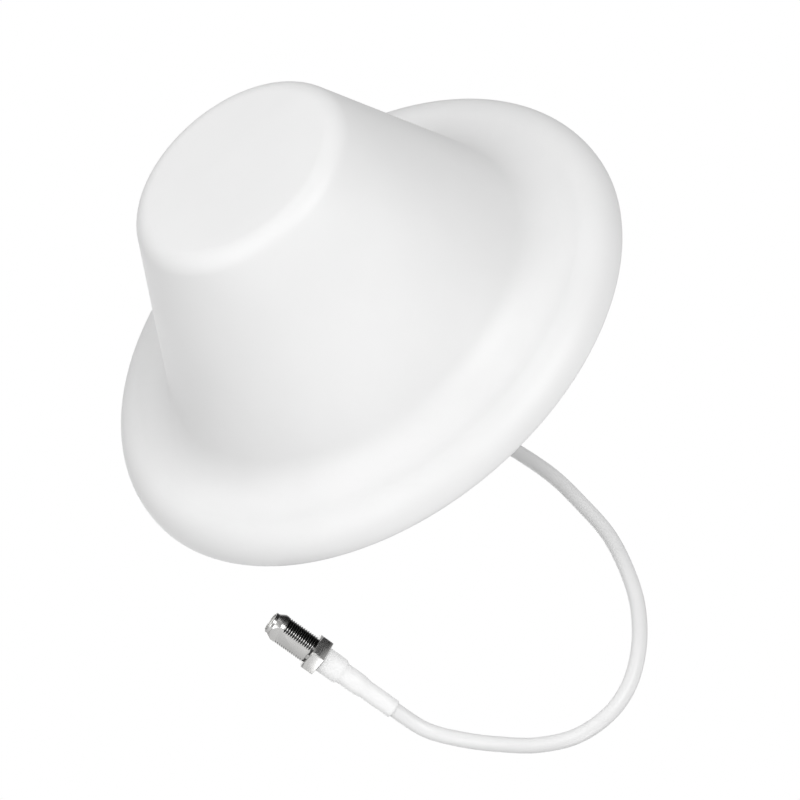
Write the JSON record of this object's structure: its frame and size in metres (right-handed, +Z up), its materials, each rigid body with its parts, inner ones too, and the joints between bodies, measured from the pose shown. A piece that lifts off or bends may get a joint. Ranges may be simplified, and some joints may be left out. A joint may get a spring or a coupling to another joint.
{
  "type": "ceiling dome antenna",
  "caption": "White ceiling dome antenna of a cellular signal booster, hung by a threaded stud and nut, with a short coaxial pigtail ending in a threaded jack.",
  "frame": {"origin": "centre of the back face, on the ceiling plane, where the threaded stud leaves the base plate", "axes": "+Z up, along the threaded stud and away from the dome; the dome hangs towards -Z and the cable loops out towards -Y"},
  "size_m": [0.185, 0.2249, 0.1595],
  "materials": {
    "white_abs": "satin moulded",
    "natural_nylon": "moulded",
    "zinc_screw": "zinc plated",
    "aluminium_sheet": "rolled sheet",
    "tinned_brass": "bare sheet",
    "copper_wire": "bare wire",
    "natural_ptfe": "waxy",
    "white_pvc": "extruded jacket",
    "white_shrink": "heat-shrunk sleeve",
    "nickel_plate": "bright nickel",
    "white_rubber": "moulded"
  },
  "bodies": {
    "antenna": {"radome": "white_abs", "base_plate": "white_abs", "standoff_1": "natural_nylon", "standoff_2": "natural_nylon", "standoff_3": "natural_nylon", "base_screw_1": "zinc_screw", "base_screw_2": "zinc_screw", "base_screw_3": "zinc_screw", "base_screw_4": "zinc_screw", "ground_plane_screw_1": "zinc_screw", "ground_plane_screw_2": "zinc_screw", "ground_plane_screw_3": "zinc_screw", "ground_plane_screw_4": "zinc_screw", "radiator_screw_1": "zinc_screw", "radiator_screw_2": "zinc_screw", "radiator_screw_3": "zinc_screw", "ground_plane": "aluminium_sheet", "radiator_cone": "tinned_brass", "radiator_hat": "tinned_brass", "shorting_leg_1": "tinned_brass", "shorting_leg_2": "tinned_brass", "shorting_leg_3": "tinned_brass", "braid_collar": "tinned_brass", "connector_contact": "tinned_brass", "coax_braid": "copper_wire", "centre_conductor": "copper_wire", "feed_insulator": "natural_ptfe", "coax_dielectric": "natural_ptfe", "connector_insulator": "natural_ptfe", "inner_cable": "white_pvc", "pigtail_cable": "white_pvc", "heat_shrink": "white_shrink", "crimp_ferrule": "nickel_plate", "connector_body": "nickel_plate", "cable_grommet": "white_rubber"},
    "washer": {"nut_washer": "natural_nylon"},
    "nut": {"mounting_nut": "white_abs"}
  },
  "joints": [
    {"name": "nut_travel", "type": "slide", "parent": "antenna", "child": "washer", "axis": [0, 0, 1], "range_m": [-0.0122, 0.008]},
    {"name": "nut_turn", "type": "hinge", "parent": "washer", "child": "nut", "pos_m": [0, 0, 0.0148], "axis": [0, 0, 1], "range_deg": [-2195, 1439]}
  ],
  "couplings": [
    {"joint": "nut_travel", "follows": "nut_turn", "m_per_rad": 0.00031831}
  ]
}
